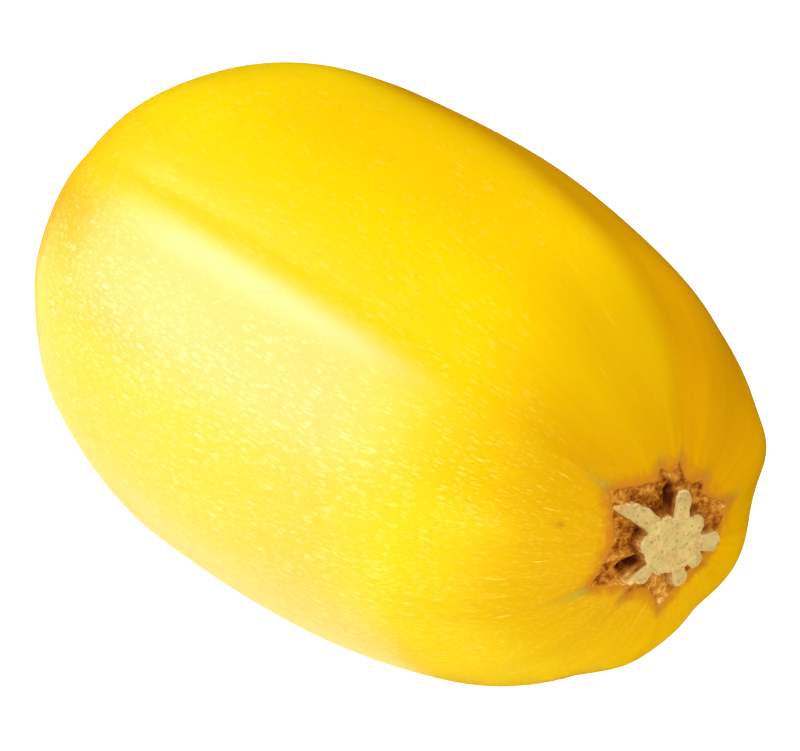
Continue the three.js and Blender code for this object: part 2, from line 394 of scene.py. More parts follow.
def near_lines(across, upwards, lines):
    """The last number of whichever line is nearest, times the bell of the distance to it."""
    mask = np.zeros_like(across)
    for line in lines:
        (from_angle, to_angle), (start, stop) = np.radians(line[[0, 2]]), line[[1, 3]] * MM
        base = np.array([start * math.cos(from_angle), start * math.sin(from_angle)])
        run = np.array([stop * math.cos(to_angle), stop * math.sin(to_angle)]) - base
        along_line = (across - base[0]) * run[0] + (upwards - base[1]) * run[1]
        share = np.clip(along_line / run.dot(run), 0, 1)
        gap = np.hypot(across - base[0] - share * run[0], upwards - base[1] - share * run[1])
        mask = np.maximum(mask, line[5] * bell(gap, line[4] * MM))
    return mask


def crease_mask(width):
    """1 along the line that carries each point of the star on over the rind, 0 elsewhere."""
    mask = np.zeros_like(radius)
    for (angle, point, _, _), length in zip(SCAR_POINTS, CREASE_LENGTHS):
        sideways = radius * np.radians(np.abs(turn(around, angle)))
        outwards = radius - point * MM
        fade = np.exp(-np.clip(outwards, 0, None) / length) * (outwards > -2 * MM)
        mask = np.maximum(mask, bell(sideways, width) * fade * (from_blossom > 0.1))
    return mask


creases, crease_shade_mask = crease_mask(CREASE_WIDTH), crease_mask(CREASE_SHADE_WIDTH)
within = np.clip(inside, 0, None)
outside = np.clip(-past_rim, 0, None)
furrow = waves(travel, around, 40, 18, 70, 2.0, seed=5)
torn = waves(travel, around, 60, 20, 110, 0.25, seed=8)

across, upwards = radius * np.cos(np.radians(around)), radius * np.sin(np.radians(around))
ridges = near_lines(across, upwards, SCAR_RIDGES)
pits = near_lines(across, upwards, PITS)
drop = LIP_DEPTH * (1 - np.exp(-within / LIP_WIDTH)) + FUNNEL_DEPTH * (within / rim) ** 0.9
drop = drop * (1 - ridges) + TORN_DEPTH * torn * ease(within / TORN_START) + PIT_DEPTH * pits
drop = drop * (past_rim > 0)
near_rim = (past_rim <= 0) * 1.0
swell = SHOULDER_SWELL * bell(outside - SHOULDER_WIDTH, SHOULDER_WIDTH)
swell = swell - ROLL_DEPTH * np.exp(-outside / ROLL_WIDTH)
rise = swell * near_rim
rise = rise - CREASE_DEPTH * creases * near_rim
furrow_fade = np.exp(-outside / FURROW_REACH) * ease(outside / SHOULDER_WIDTH)
rise = rise + FURROW_DEPTH * furrow * furrow_fade
calm = ease(outside / CALM_WIDTH)
rise = rise + LUMP_HEIGHT * waves(along, around, 16, 1, 6, 0.5, seed=2) * calm
rise = rise + RIPPLE_HEIGHT * waves(along, around, 30, 6, 24, 0.9, seed=3) * calm
button = ease(1 - from_blossom / BLOSSOM_SCAR_RADIUS)
pucker = waves(travel, around, 24, 9, 30, 2.0, seed=4)
pucker = pucker * bell(from_blossom - PUCKER_PLACE, PUCKER_WIDTH)
rise = rise - BLOSSOM_SCAR_DEPTH * button + PUCKER_HEIGHT * pucker
print("deepest in the scar, mm:", round(float(drop.max()) * 1000, 2))

# %% [markdown]
# ## Points in space
#
# The heights are laid on along the surface's own outward direction, which comes from the cross
# product of the grid's two directions. Then the fruit moves from its own axes to the frame's
# place for it: its box has to be the frame's box. The belly is flat where it rests, like the
# frame's.

# %% Rind in place
def turned(along, radius, around):
    """Points of a surface round the X axis: (x, r cos a, r sin a)."""
    angle = np.radians(around)
    parts = np.broadcast_arrays(along, radius * np.cos(angle), radius * np.sin(angle))
    return np.stack(parts, axis=-1)


def outwards(points):
    """Unit normals of a closed grid: along the columns crossed with down the rows."""
    sideways = np.roll(points, -1, axis=1) - np.roll(points, 1, axis=1)
    downwards = np.gradient(points, axis=0)
    normal = np.cross(downwards, sideways)
    return normal / np.maximum(np.linalg.norm(normal, axis=-1, keepdims=True), 1e-12)


smooth_points = turned(along, radius, around)
rind_points = smooth_points + outwards(smooth_points) * rise[..., None]
rind_points[..., 0] -= drop
own_low, own_high = rind_points.min(axis=(0, 1)), rind_points.max(axis=(0, 1))
axis_middle = np.array([
    fruit_low[0] - own_low[0],
    (fruit_low[1] + fruit_high[1] - own_low[1] - own_high[1]) / 2,
    fruit_high[2] - own_high[2],
])
rind_points += axis_middle
rind_points[..., 2] = np.maximum(rind_points[..., 2], fruit_low[2])
print("widest place of the axis in the frame, mm:", np.round(axis_middle * 1000, 1))
print("stem end against the frame, mm:",
      round(float(rind_points[..., 0].max() - fruit_high[0]) * 1000, 2))

# %% [markdown]
# ## The rind's mesh
#
# Besides its shape the mesh carries what its material needs: how far a point is past the rim
# and from the blossom, masks of the creases and the other marks, and `flow`. That is a space in
# which the fruit is unrolled along its ribs, so that a pattern stretched in it runs from end to
# end and draws together at the poles.

# %% Rind mesh
# The crest mask worked out from these carries a painted highlight along the crisp rib in the
# rind's material.
CRISP_VALLEY = 3            # the valley whose far side rises to a crisp crest
CREST_TURN = 9.4            # degrees from that valley's bottom to the crest
CREST_WIDTH = 3.2
CREST_START = -10 * MM      # the crest line runs along the axis from here
CREST_STOP = 126 * MM       # to here
CREST_FADE = 40 * MM
THINNEST = 12 * MM          # below this radius the unrolling stretches no further
UNROLLING = 0.8             # 1 would keep a pattern's shape exactly
DEEPEST_VALLEY = 0.016      # share of the radius
BLEMISH_ANGLE = 163.5       # a small brown spot beside the star
BLEMISH_PLACE = 14 * MM     # outside the rim
BLEMISH_SIZE = 0.8 * MM
FUNNEL_LENGTH = 13 * MM     # from the rim to the stem pole along the surface

middle_radius = (radius[1:] + radius[:-1]) / 2
unrolled_steps = steps * (BODY_RADIUS / np.maximum(middle_radius, THINNEST)) ** UNROLLING
unrolled = np.concatenate([np.zeros((1, COLUMNS)), np.cumsum(unrolled_steps, axis=0)])
flow = turned(unrolled, np.full_like(radius, BODY_RADIUS), around)
end = along / np.where(along > 0, STEM_REACH, BLOSSOM_REACH)
valley = np.clip(valley_depth(around, end) / DEEPEST_VALLEY, 0, 1)
crest = bell(turn(around, valley_angle(CRISP_VALLEY, end) + CREST_TURN), CREST_WIDTH)
crest = crest * ease((along - CREST_START) / CREST_FADE) * ease((CREST_STOP - along) / CREST_FADE)
blemish_side = radius * np.radians(turn(around, BLEMISH_ANGLE))
blemish = bell(np.hypot(blemish_side, past_rim + BLEMISH_PLACE), BLEMISH_SIZE)
stem_pole = [rind_points[0, :, 0].mean(), axis_middle[1], axis_middle[2]]
blossom_pole = [rind_points[-1, :, 0].mean(), axis_middle[1], axis_middle[2]]
rind = closed_grid("rind", rind_points, [stem_pole, blossom_pole], {
    "flow": (flow, [[0, 0, 0], [float(unrolled.max()), 0, 0]]),
    "past_rim": (np.where(past_rim > 0, within, past_rim), [FUNNEL_LENGTH, float(past_rim.min())]),
    "crease": (creases, [0, 0]),
    "fold": (crease_shade_mask, [0, 0]),
    "blemish": (blemish, [0, 0]),
    "valley": (valley, [0, 0]),
    "ridge": (ridges, [0, 0]),
    "pit": (pits, [0, 0]),
    "crest": (crest, [0, 0]),
    "from_blossom": (from_blossom, [float(travel.max()), 0]),
})

# %% [markdown]
# ## The stub of the stem
#
# A squash's stem is hard and lobed. Near the fruit it flares, and its main lobes run out as
# arms towards the points of the star. Cut through, it shows a pale face whose edge is a ring of
# round knobs. The edge is worked out as rays from the middle: each knob is a circle, and a ray
# ends where it leaves the farthest circle that it meets, or at the core. The wall runs from the
# knobs' places at the face to their places at the root.

# %% Stub dimensions
STUB_OFFSET = (-0.5 * MM, -2.0 * MM)   # the stub's middle from the fruit's axis, in Y and Z
STUB_STANDOFF = 2.0 * MM    # the cut face stands this far beyond the stem pole
STUB_ROOT = 7 * MM          # the stub's root starts this far inside it
STUB_CORE = 7.0 * MM        # radius of the stub's middle, between its knobs
CUT_SLOPE = 0.4             # the cut slopes away beyond the radius below, along the long arm
CUT_SLOPE_START = 10.5 * MM
LONG_ARM = 135              # angle of the long arm
STUB_FLARE = 1.6            # above 1, the knobs spread mostly near the root
KNOB_SHOULDER = 0.5         # how gently a knob's sides turn into the core

# The knobs: angle, distance of the round end from the middle and its radius at the cut face,
# then the same three at the root. Degrees and millimetres.
KNOBS = np.array([
    [22, 8.5, 2.35, 24, 9.0, 2.5],
    [60.5, 7.4, 2.1, 62, 8.0, 2.2],
    [69.5, 11.1, 2.45, 72, 12.6, 2.4],
    [105, 5.4, 2.6, 105, 6.2, 2.6],
    [128, 8.7, 2.4, 129, 9.0, 2.6],
    [128, 11.6, 2.2, 130, 11.8, 2.4],
    [130.5, 14.1, 1.8, 132.5, 14.2, 2.0],
    [133.5, 15.8, 1.4, 135, 15.9, 1.6],
    [136, 17.3, 1.0, 137.5, 17.5, 1.2],
    [139, 18.9, 0.6, 139.5, 19.3, 0.7],
    [161, 6.2, 2.8, 161, 6.8, 3.0],
    [195, 5.0, 2.5, 195, 5.8, 2.7],
    [217, 7.8, 1.4, 216, 8.6, 1.6],
    [217, 10.2, 1.7, 216, 11.6, 1.8],
    [210, 12.8, 1.0, 212, 15.0, 1.1],
    [240, 5.2, 2.3, 242, 6.2, 2.4],
    [290, 10.1, 2.15, 285, 12.4, 2.2],
    [322.5, 9.7, 2.15, 322, 10.4, 2.3],
    [350.5, 9.9, 1.7, 351, 10.4, 1.9],
    [347.7, 13.1, 2.6, 351, 14.6, 2.5],
    [345, 6.4, 3.7, 346, 6.8, 3.8],
    [314, 5.2, 3.4, 314, 6.0, 3.6],
    [38, 4.8, 3.4, 38, 5.4, 3.6],
])
EDGE_ROUGHNESS = 0.16 * MM


def stub_edge(around, height):
    """Radius of the stub's edge at an angle and a height from 0, the root, to 1, the face: for
    each circle, d cos t + r sqrt(1 - (d sin t / r)^2), eased to the core at its sides."""
    share = height ** (1 / STUB_FLARE)
    edge = np.full(np.broadcast(around, height).shape, STUB_CORE)
    for knob in KNOBS:
        angle, reach, size = (knob[3 + i] + (knob[i] - knob[3 + i]) * share for i in range(3))
        away = np.radians(turn(around, angle))
        chord = np.sqrt(np.clip(1 - (reach * np.sin(away) / size) ** 2, 0, 1)) * (np.cos(away) > 0)
        far = (reach * np.cos(away) + size * chord) * MM
        edge = np.maximum(edge, STUB_CORE + (far - STUB_CORE) * ease(chord / KNOB_SHOULDER))
    return edge + EDGE_ROUGHNESS * waves(height, around, 50, 12, 90, 8.0, seed=13)


print("stub across its arms, mm:", round(2000 * float(stub_edge(whole_turn, np.ones(1)).max()), 1))

# %% [markdown]
# ## The stub's mesh
#
# The face is rows of shrinking copies of the edge, a little uneven. A few rows round off the
# corner between face and wall, and the wall is fluted along its fibres. The root goes on down
# into the funnel, so no gap shows.

# %% Stub mesh
STUB_COLUMNS = 600
FACE_ROWS = 26
CORNER_ROWS = 4
WALL_ROWS = 30
CORNER_SIZE = 0.35 * MM
FACE_ROUGHNESS = 0.10 * MM
FLUTE_DEPTH = 0.16 * MM
FLUTE_START = 0.15          # share of the wall over which the flutes fade in below the cut
FIBRE_RADIUS = 10 * MM      # the fibres' pattern is unrolled on a cylinder this wide
ARM_START = 8 * MM          # from this radius on the cut face belongs to an arm
ARM_FADE = 3 * MM

# Where the arms' skin is weathered to bark: angle, radius where that starts and over which it
# grows, and how wide it spreads. Degrees and millimetres.
WEATHERED = [(212, 10, 3, 20), (138, 14, 6, 15)]

stub_around = np.arange(STUB_COLUMNS)[None, :] * 360.0 / STUB_COLUMNS
face_along = STEM_REACH + STUB_STANDOFF
root_along = STEM_REACH - STUB_ROOT
face_edge = stub_edge(stub_around, np.ones((1, 1)))


def cut_height(radius, around):
    """Height of the cut: level near the middle, sloping away beyond it, most of all along the
    long arm, by (1 + cos) / 2 of the angle from it. Slightly rough."""
    lean = (1 + np.cos(np.radians(around - LONG_ARM))) / 2
    slope = CUT_SLOPE * lean * np.clip(radius - CUT_SLOPE_START, 0, None)
    rough = FACE_ROUGHNESS * waves(radius, around, 30, 2, 14, 0.02, seed=11)
    return face_along - slope + rough * ease(radius / (3 * MM))


face_share = (np.linspace(0, 1, FACE_ROWS + 1)[1:, None]) ** 0.9
face_radius = face_edge * face_share - CORNER_SIZE * face_share
corner = np.linspace(0, np.pi / 2, CORNER_ROWS + 2)[1:-1, None]
corner_radius = face_edge - CORNER_SIZE * (1 - np.sin(corner))
wall_height = np.linspace(1, 0, WALL_ROWS)[:, None]
wall_radius = stub_edge(stub_around, wall_height)
flutes = waves(wall_height, stub_around, 60, 20, 90, 3.0, seed=12)
wall_radius = wall_radius + FLUTE_DEPTH * flutes * ease((1 - wall_height) / FLUTE_START)
top = cut_height(face_edge, stub_around)
stub_radius = np.concatenate([face_radius, corner_radius, wall_radius])
stub_along = np.concatenate([
    cut_height(face_radius, stub_around),
    top - CORNER_SIZE * (1 - np.cos(corner)),
    root_along + (top - CORNER_SIZE - root_along) * wall_height,
])
below_cut = top - stub_along
on_face = np.zeros_like(stub_radius)
on_face[:FACE_ROWS] = 1
weathered = 0
for angle, start, fade, wide in WEATHERED:
    grown = ease((stub_radius - start * MM) / (fade * MM))
    weathered = weathered + grown * bell(turn(stub_around, angle), wide)
arm = ease((stub_radius - ARM_START) / ARM_FADE)
stub_middle = axis_middle + [0, *STUB_OFFSET]
stub_points = turned(stub_along, stub_radius, stub_around) + stub_middle
stub_poles = [stub_middle + [face_along, 0, 0], stub_middle + [root_along, 0, 0]]
stub_flow = turned(stub_along, np.full_like(stub_radius, FIBRE_RADIUS), stub_around)
from_axis = stub_points - axis_middle
stub_pits = near_lines(from_axis[..., 1], from_axis[..., 2], PITS)
stub = closed_grid("stem_stub_cut", stub_points, stub_poles, {
    "on_face": (on_face, [1, 0]),
    "below_cut": (below_cut, [0, STUB_ROOT]),
    "pit": (stub_pits, [0, 0]),
    "weathered": (np.clip(weathered, 0, 1), [0, 0]),
    "arm": (arm, [0, 0]),
    "fibre": (stub_flow, [[0, 0, 0], [0, 0, 0]]),
})

# %% [markdown]
# ## Writing materials as expressions
#
# A node tree is a formula drawn as boxes. Here it is written as a formula: a `Wire` is one
# output of a node, and adding or multiplying wires adds the Math nodes that do it. The method
# `node` adds any other kind of node.

# %% A wire between nodes
class Wire:
    """One output socket in a material, with Python's operators as Math nodes."""

    def __init__(self, tree, socket=None):
        self.tree, self.socket = tree, socket

    def node(self, kind, settings=None, inputs=None, output=0):
        """Adds a node: its settings first (stops are a ramp's places and colours), then a
        value or a wire for each input, by name or number."""
        node = self.tree.nodes.new("ShaderNode" + kind)
        for setting, value in (settings or {}).items():
            if setting == "stops":
                ramp = node.color_ramp.elements
                while len(ramp) < len(value):
                    ramp.new(1.0)
                for element, (place, colour) in zip(ramp, value):
                    element.position, element.color = place, (*colour, 1.0)
            else:
                setattr(node, setting, value)
        for key, value in (inputs or {}).items():
            if isinstance(value, Wire):
                self.tree.links.new(value.socket, node.inputs[key])
            else:
                node.inputs[key].default_value = value
        return Wire(self.tree, node.outputs[output])

    def beside(self, output):
        """Another output of the same node."""
        return Wire(self.tree, self.socket.node.outputs[output])

    def drive(self, socket):
        """Links this wire to a socket of the shader or of the material's output."""
        self.tree.links.new(self.socket, socket)

    def math(self, operation, first, second=0.0):
        return self.node("Math", {"operation": operation}, {0: first, 1: second})

    def __add__(self, other):
        return self.math("ADD", self, other)

    def __sub__(self, other):
        return self.math("SUBTRACT", self, other)

    def __rsub__(self, other):
        return self.math("SUBTRACT", other, self)

    def __mul__(self, other):
        return self.math("MULTIPLY", self, other)

    __radd__, __rmul__ = __add__, __mul__

    def clamped(self):
        return self.node("Clamp", {}, {0: self})

    def step(self, low, high):
        """0 before low, 1 after high, with a soft step between; low may be above high."""
        settings = {"interpolation_type": "SMOOTHSTEP"}
        return self.node("MapRange", settings, {0: self, 1: low, 2: high})

    def pick(self, zero, one):
        """Mixes two colours: zero where this wire is 0, one where it is 1."""
        return self.node("Mix", {"data_type": "RGBA"}, {0: self, 6: zero, 7: one}, output=2)

    def scaled(self, x, y, z):
        """A vector with each part multiplied by its own number."""
        return self.node("VectorMath", {"operation": "MULTIPLY"}, {0: self, 1: (x, y, z)})

    def moved(self, x, y, z):
        """A vector moved by a fixed amount, so that two patterns don't repeat each other."""
        return self.node("VectorMath", {"operation": "ADD"}, {0: self, 1: (x, y, z)})

    def noise(self, scale, detail=2.0, roughness=0.5):
        """Cloudy noise at this place, from 0 to 1 with most of it near a half."""
        settings = {"Vector": self, "Scale": scale, "Detail": detail, "Roughness": roughness}
        return self.node("TexNoise", {}, settings)

    def cells(self):
        """Voronoi cells: the distance to the nearest point, and its random colour's parts."""
        spot = self.node("TexVoronoi", {"feature": "F1"}, {"Vector": self, "Scale": 1.0})
        return spot, spot.node("SeparateColor", {}, {0: spot.beside("Color")})

    def trait(self, name):
        """A named number that the mesh carries."""
        return self.node("Attribute", {"attribute_name": name}, {}, output="Fac")

    def trait_vector(self, name):
        """A named triple that the mesh carries."""
        return self.node("Attribute", {"attribute_name": name}, {}, output="Vector")


def colour(red, green, blue):
    """A screen colour, 0 to 255 a part, as the linear colour that nodes use."""
    parts = np.array([red, green, blue]) / 255
    linear = np.where(parts > 0.04045, ((parts + 0.055) / 1.055) ** 2.4, parts / 12.92)
    return tuple(float(part) for part in linear)


def new_material(name, **constants):
    """An empty material with a Principled shader: returns it, a wire to start from and the
    shader's sockets. The constants are set on the shader's own sockets."""
    material = bpy.data.materials.new(name)
    material.use_nodes = True
    tree = material.node_tree
    shader = next(node for node in tree.nodes if node.type == "BSDF_PRINCIPLED")
    for socket, value in constants.items():
        shader.inputs[socket.replace("_", " ")].default_value = value
    return material, Wire(tree), shader.inputs


def bumped(height):
    """The surface's normal, tilted by a height in metres."""
    return height.node("Bump", {}, {"Strength": 1.0, "Distance": 1.0, "Height": height})


print("golden rind as a linear colour:", np.round(colour(247, 196, 15), 3))

# %% [markdown]
# ## Flecks
#
# The rind is covered with tiny pale dashes. They lie along the ribs, dense on the belly and rare
# on the back, and near the stem some are long, fine streaks. A Voronoi pattern gives one point
# for each cell, and a fleck is the patch round it. In the unrolled `flow` space the cells are
# squeezed lengthwise, which makes the patches long. Each cell's random colour decides whether
# it shows a fleck, how large it is and how pale.

# %% Fleck pattern
def flecks(flow, spacing, stretch, size, share, shift):
    """Mask of dashes. spacing is the cells' width in metres, stretch how many times longer they
    are, size the half width of a fleck as a share of its cell, and share a number or a wire
    for how many of the cells have one."""
    across = 1 / spacing
    wobble = flow.noise(across * 1.5, 1.0)
    place = flow.moved(shift, shift, 0).scaled(across / stretch, across, across)
    cell, chance = place.cells()
    shown = (chance - share).step(0.02, -0.02)
    reach = chance.beside("Green") * size + 0.6 * size + (wobble - 0.5) * size * 0.9
    bright = chance.beside("Blue") * 0.7 + 0.5
    return (reach - cell).step(-0.12, 0.16) * shown * bright


# %% [markdown]
# ## The rind's material
#
# One material covers the whole fruit. A ripe rind isn't one yellow: the crests are golden, the
# belly is lemon, and the stem end is a deep amber. The flank that faces the key light gets a
# painted highlight tint, with less green and a touch of blue, to go with the light's broad
# reflection there, and a painted highlight runs along the crisp crest. On the side away from the
# key light the skin and its valleys get painted shade, redder and darker, towards deep amber in
# the valleys. Each of these is a zone with soft edges, laid over the one before. It is set by the
# side that a point looks to and by how far it is past the rim, which is below 0 out on the rind:
# -200 mm is near the blossom end. Over the zones lie flecks in four sizes, painted paler on the
# key side, painted shade along the creases, a small spot and the grey-green creases. The rim is
# blushed with rust. Inside it the rind turns to brown cork, with painted shade that darkens it
# the deeper it goes. The skin has an even, soft gloss, broken up a little by dimples.

# %% Cork colour
def cork_colour(place, depth, ridge, pit):
    """Brown torn tissue: blotches and grain, with painted shade that darkens it with depth and in
    the pits, paler on its ridges. Returns the colour and the grain."""
    blotches = place.noise(520, 3.0, 0.6)
    grain = place.moved(0.3, 0.1, 0.2).noise(1500, 2.0, 0.6)
    # Painted shade: darker the deeper in the funnel, and darker still in the pits.
    painted_recess_shade = depth.step(1 * MM, 11 * MM) * 0.10 + pit * 0.35 + 0.03
    tone = (blotches * 1.4 + grain * 0.5 - 0.43 - painted_recess_shade + ridge * 0.34).clamped()
    stops = [
        (0.08, colour(72, 26, 10)),
        (0.30, colour(136, 68, 20)),
        (0.50, colour(180, 110, 30)),
        (0.70, colour(206, 142, 52)),
        (0.92, colour(230, 182, 92)),
    ]
    return tone.node("ValToRGB", {"stops": stops}, {0: tone}), grain


# %% [markdown]
# ## Zones of colour
#
# The zones could be painted on a picture wrapped round the fruit. Masks worked out from the
# surface need no picture, and stay sharp from close by. Each line here makes a mask and lays one
# colour over what is there, so a later zone covers an earlier one.

# %% Zones of the skin
GOLD, GOLD_TOP, GOLD_FAR = (0.92, 0.55, 0.002, 1), (0.90, 0.575, 0.001, 1), (0.92, 0.65, 0.002, 1)
# Painted highlight tint for the flank that faces the key light: less green and a touch of blue, to
# go with the light's broad reflection there. The far one, towards the blossom, has hardly any
# blue.
KEY_SIDE_TINT, KEY_SIDE_TINT_FAR = (0.93, 0.48, 0.062, 1), (0.93, 0.455, 0.006, 1)
LEMON, LEMON_TIP = (0.96, 0.71, 0.018, 1), (0.95, 0.64, 0.004, 1)
AMBER, AMBER_BELLY = (0.68, 0.395, 0.001, 1), (0.84, 0.50, 0.001, 1)
DEEP_AMBER = (0.60, 0.29, 0.001, 1)
PAINTED_CREST_HIGHLIGHT = (0.94, 0.66, 0.30, 1)
SHADE_SIDE_SHARE = (0.97, 0.78, 1.0)    # what the painted shade keeps of the colour on the side away from the key light


def skin_zones(past_rim, towards, far_stem, far_end):
    """The skin's colour by zone, and the mask of the painted highlight tint on the key side."""
    golden = (towards(90).step(0.5, 0.95) * 0.8).pick(GOLD, GOLD_TOP)
    golden = (far_end * towards(95).step(0.88, 0.98)).pick(golden, GOLD_FAR)
    key_side_highlight_tint = past_rim.step(-185 * MM, -140 * MM).pick(KEY_SIDE_TINT_FAR, KEY_SIDE_TINT)
    # The flank that faces the key light, short of the stem: where the painted highlight tint goes.
    key_side_highlight_mask = towards(184).step(0.665, 0.80) * past_rim.step(-50 * MM, -85 * MM) * 0.85
    golden = key_side_highlight_mask.pick(golden, key_side_highlight_tint)
    strength = 0.38 + past_rim.step(-50 * MM, -32 * MM) * 0.50
    strength = strength + past_rim.step(-75 * MM, -120 * MM) * 0.27
    golden = (towards(203).step(0.70, 0.90) * strength).pick(golden, LEMON)
    tip = past_rim.step(-165 * MM, -210 * MM) * towards(200).step(0.5, 0.9) * 0.8
    golden = tip.pick(golden, LEMON_TIP)
    shaded = towards(300).step(0.3, 0.9).pick(AMBER, AMBER_BELLY)
    return far_stem.pick(golden, shaded), key_side_highlight_mask


# %% [markdown]
# ## Marks on the skin
#
# The marks are laid over the zones in the same way. The flecks are a pattern in the unrolled
# space, and the painted shade along the creases, the spot and the creases follow masks that the
# mesh carries.

# %% Marks of the skin
# The flecks are real; on the key side they are painted paler and bluer, as highlight.
FLECK, FLECK_IN_KEY_HIGHLIGHT = (0.98, 0.78, 0.18, 1), (0.98, 0.78, 0.34, 1)
PAINTED_CREASE_SHADE = (0.34, 0.26, 0.018, 1)
BLEMISH_BROWN = (0.30, 0.12, 0.01, 1)
CREASE_GREEN, CREASE_DRY = (0.48, 0.37, 0.07, 1), (0.78, 0.60, 0.24, 1)
RIM_RUST = (0.50, 0.17, 0.01, 1)


def pale_flecks(flow, belly, crowd, crest, far_stem):
    """Mask of all the flecks: three sizes of dashes, and long streaks near the stem."""
    small = flecks(flow, 1.0 * MM, 2.8, 0.34, crowd, 0.011)
    dashes = flecks(flow, 1.5 * MM, 3.2, 0.27, crowd * 0.8, 0.037)
    large = flecks(flow, 3.2 * MM, 3.0, 0.14, crowd * 0.35, 0.071)
    long = flecks(flow, 1.9 * MM, 9.0, 0.16, far_stem * 0.14, 0.103)
    contrast = (belly.step(-0.35, 0.6) * 0.48 + 0.22) * (1 - crest) * (1 - far_stem * 0.75)
    spots = (small * 0.45 + dashes * 0.5 + large * 0.45) * contrast
    return (spots + long * (belly.step(-0.6, 0.6) * 0.35 + 0.1)).clamped()


def growth_marks(skin, fold, blemish, crease, mottle):
    """The skin with painted shade along its creases, its spot and its broken, dry creases."""
    # Painted shade along each crease, with an olive tint.
    skin = (fold.step(0.15, 0.9) * 0.6).pick(skin, PAINTED_CREASE_SHADE)
    skin = (blemish * 0.7).pick(skin, BLEMISH_BROWN)
    broken = crease * (mottle * 1.2 + 0.4)
    skin = (broken.step(0.2, 0.7) * 0.5).pick(skin, CREASE_GREEN)
    return (broken.step(0.7, 1.0) * 0.6).pick(skin, CREASE_DRY)


# %% Rind material
GLOSS_ROUGHNESS = 0.30      # the wax, a touch rougher where the skin is mottled
DIMPLE_HEIGHT = 0.04 * MM
SWELL_HEIGHT = 0.08 * MM
CORK_HEIGHT = 0.6 * MM


def make_rind_material():
    material, start, shader = new_material("golden_rind", IOR=1.45)
    flow = start.trait_vector("flow")
    place = start.node("TexCoord", {}, {}, output="Object")
    past_rim = start.trait("past_rim")
    crest = start.trait("crest")
    part = flow.node("SeparateXYZ", {}, {0: flow})

    def towards(angle):
        """Cosine of the angle round the axis between here and a direction, in degrees."""
        a = math.radians(angle)
        return (part.beside(1) * math.cos(a) + part.beside(2) * math.sin(a)) * (1 / BODY_RADIUS)

    belly = towards(225)
    early = towards(80).step(0.70, 1.0) * 12 * MM - towards(150).step(0.85, 1.0) * 8 * MM
    far_stem = (past_rim + early).step(-58 * MM, -20 * MM) * 0.9
    near_stem = past_rim.step(-36 * MM, 2 * MM)
    far_end = past_rim.step(-130 * MM, -200 * MM)
    streaks = flow.scaled(0.08, 1, 1).noise(190, 3.0, 0.55)
    cloud = flow.scaled(1, 1.6, 1.6).noise(22, 3.0, 0.55)
    mottle = flow.scaled(0.5, 1, 1).noise(260, 3.0, 0.6)
    golden, key_side_highlight_mask = skin_zones(past_rim, towards, far_stem, far_end)
    # Painted shade in the valleys: towards deep amber on the side away from the key light, and in
    # the crisp valley at 131 degrees near the stem.
    crisp_valley_shade = towards(131).step(0.94, 1.0) * far_stem * 0.5
    furrow = start.trait("valley") * (towards(65).step(0.5, 0.95) * 0.25 + crisp_valley_shade)
    patchy = (cloud - 0.5) * 0.2 + (mottle - 0.5) * 0.14
    patchy = patchy + (streaks - 0.5) * (far_stem * 0.6 + 0.05)
    skin = (near_stem * 0.85 + furrow + patchy).clamped().pick(golden, DEEP_AMBER)
    # Painted shade: the side between +Y and the top, away from the key light, is made redder and
    # darker, less so near the stem.
    painted_shade_side = towards(-15).step(-0.14, 0.14) * towards(45).step(0.2, 0.8) * (1 - near_stem * 0.8)
    skin = painted_shade_side.pick(skin, skin.scaled(*SHADE_SIDE_SHARE))
    # Painted highlight: a pale band along the crisp crest, where the key light's broad reflection
    # ends.
    skin = (crest * 0.5).pick(skin, PAINTED_CREST_HIGHLIGHT)

    crowd = belly * 0.55 + 0.55 + (cloud - 0.5) * 0.9 - far_stem * 0.3 + far_end * 0.15
    pale = pale_flecks(flow, belly, crowd.clamped(), crest, far_stem)
    # Flecks, painted paler and bluer on the key side as highlight.
    skin = pale.pick(skin, key_side_highlight_mask.pick(FLECK, FLECK_IN_KEY_HIGHLIGHT))
    fold, blemish, crease = (start.trait(name) for name in ("fold", "blemish", "crease"))
    skin = growth_marks(skin, fold, blemish, crease, mottle)
    ragged = past_rim + (place.noise(420, 3.0, 0.6) - 0.5) * 7 * MM
    skin = (ragged.step(-4.8 * MM, -0.4 * MM) * 0.9).pick(skin, RIM_RUST)
    skin.drive(shader["Base Color"])
    gloss = (mottle - 0.5) * 0.02 + GLOSS_ROUGHNESS
    gloss.drive(shader["Roughness"])
    dimples = flow.scaled(0.6, 1, 1).noise(620, 2.0, 0.5)
    swells = flow.scaled(0.35, 1, 1).noise(150, 2.0, 0.5)
    bumped(dimples * DIMPLE_HEIGHT + swells * SWELL_HEIGHT).drive(shader["Normal"])

    cork, grain = cork_colour(place, past_rim, start.trait("ridge"), start.trait("pit"))
    edge = past_rim + (grain - 0.5) * 1.4 * MM
    button = start.trait("from_blossom").step(7.5 * MM, 5.5 * MM)
    brown = (edge.step(-0.2 * MM, 0.4 * MM) + button).clamped()
    dry = start.node("BsdfPrincipled", {}, {
        "Base Color": cork, "Roughness": 0.9, "Specular IOR Level": 0.0,
        "Normal": bumped(grain * CORK_HEIGHT),
    })
    skin_shader = Wire(start.tree, shader["Base Color"].node.outputs[0])
    whole = start.node("MixShader", {}, {0: brown, 1: skin_shader, 2: dry})
    whole.drive(start.tree.nodes["Material Output"].inputs["Surface"])
    return material


rind.data.materials.append(make_rind_material())
print("rind material nodes:", len(rind.data.materials[0].node_tree.nodes))

# %% [markdown]
# ## The stub's material
#
# The cut face is pale cream and dry, with small grey-green ends of the vessels that once fed
# the fruit. The wall keeps a pale edge just under the cut and turns to the same brown cork as
# the scar below it, fluted by its fibres, with painted shade that darkens it further down and
# in the pits.

